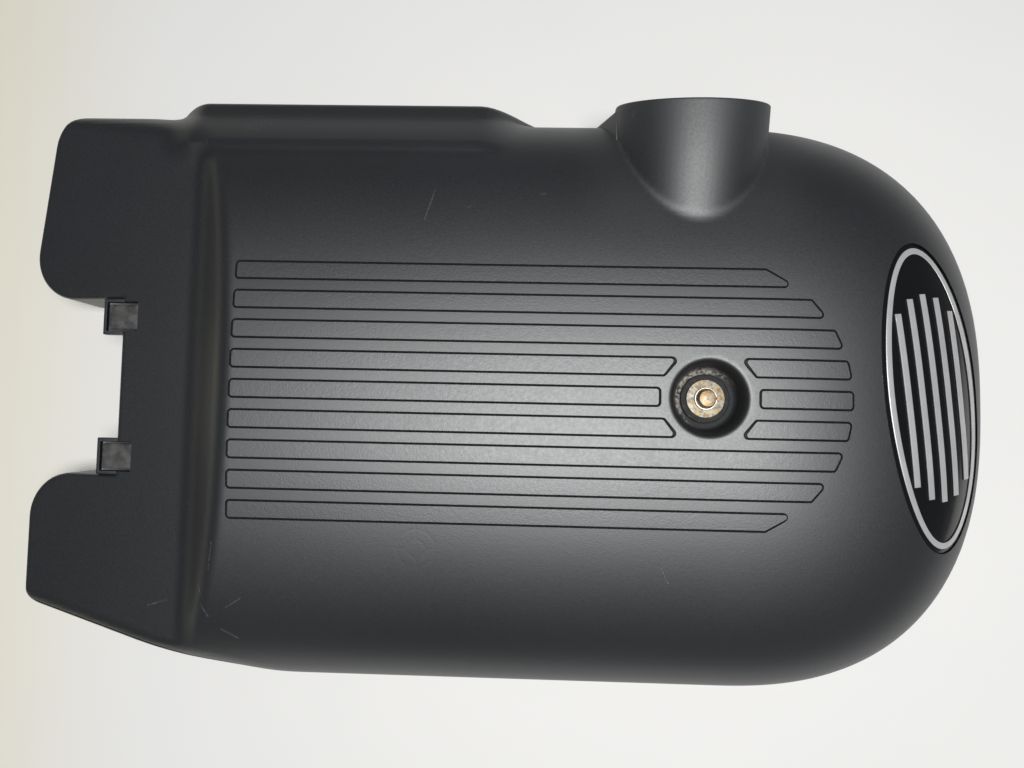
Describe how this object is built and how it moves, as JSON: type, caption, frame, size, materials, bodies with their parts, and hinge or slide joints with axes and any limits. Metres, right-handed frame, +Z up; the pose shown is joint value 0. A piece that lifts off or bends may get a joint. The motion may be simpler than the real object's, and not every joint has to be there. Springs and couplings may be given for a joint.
{
  "type": "engine cover",
  "caption": "Domed plastic engine cover with outlined bars, a captive centre bolt in a well, an arched duct hump and a notched rear shelf.",
  "frame": {"origin": "middle of the bounding box in plan, on the plane that the rim rests on", "axes": "+X to the rounded nose, +Y to the side with the duct hump, +Z up through the crest"},
  "size_m": [0.6607, 0.398, 0.104],
  "materials": {
    "shell": "fine moulded grain, satin",
    "badge_black": "gloss",
    "badge_bright": "satin foil",
    "black_rubber": "matt",
    "grey_rubber": "matt",
    "zinc_steel": "zinc plated",
    "gold_zinc": "yellow zinc, worn"
  },
  "bodies": {
    "root": {"cover": "shell", "badge_plate": "badge_black", "badge_ring": "badge_bright", "badge_slats": "badge_bright", "grommet": "black_rubber", "sleeve": "zinc_steel", "washer": "gold_zinc", "bolt": "gold_zinc", "retainer": "zinc_steel", "pad_upper": "grey_rubber", "pad_lower": "grey_rubber"}
  },
  "joints": []
}
